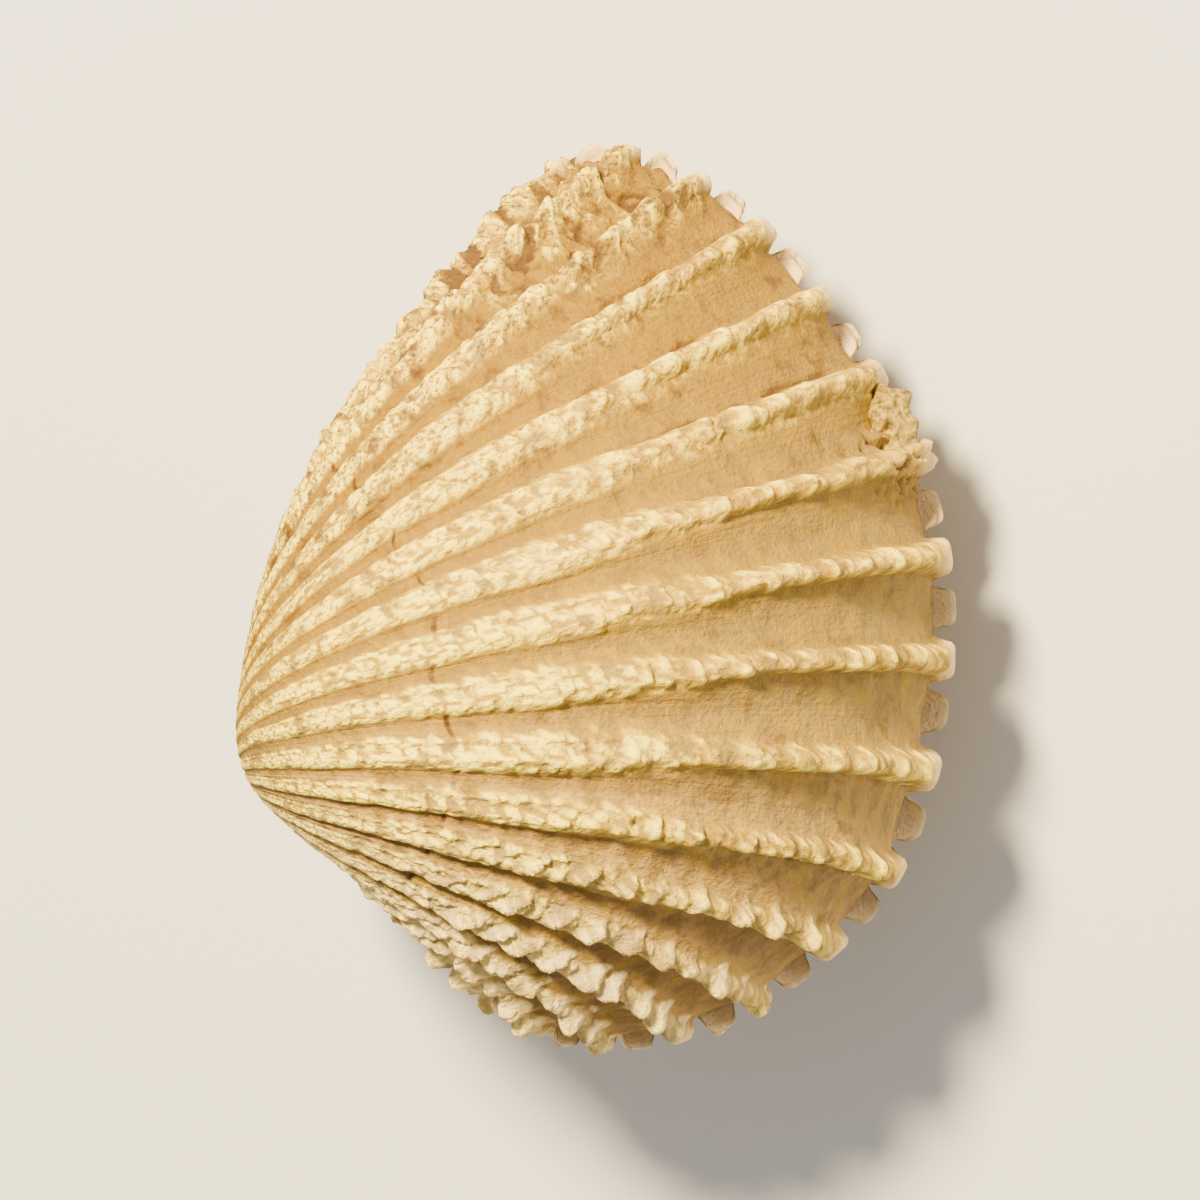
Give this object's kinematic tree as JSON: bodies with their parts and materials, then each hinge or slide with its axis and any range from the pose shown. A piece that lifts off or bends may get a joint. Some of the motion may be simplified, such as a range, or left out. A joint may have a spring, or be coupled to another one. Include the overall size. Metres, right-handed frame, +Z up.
{
  "type": "cardita shell",
  "caption": "Closed pair of thick cream sea shell valves with strong lumpy ribs, an interlocking toothed edge and beaks close together at the hinge.",
  "frame": {"origin": "under the middle of the pair, on the surface that it lies on", "axes": "+Z up; +Y towards the back end of the shell; +X towards its lower, toothed edge. The pair lies on its right valve with the toothed edge tipped down"},
  "size_m": [0.0234, 0.0298, 0.0191],
  "materials": {
    "left_shell": "chalky, unpolished",
    "right_shell": "chalky, unpolished",
    "dried_ligament": "dried, fibrous"
  },
  "bodies": {
    "root": {"left_valve": "left_shell", "right_valve": "right_shell", "ligament": "dried_ligament"}
  },
  "joints": []
}
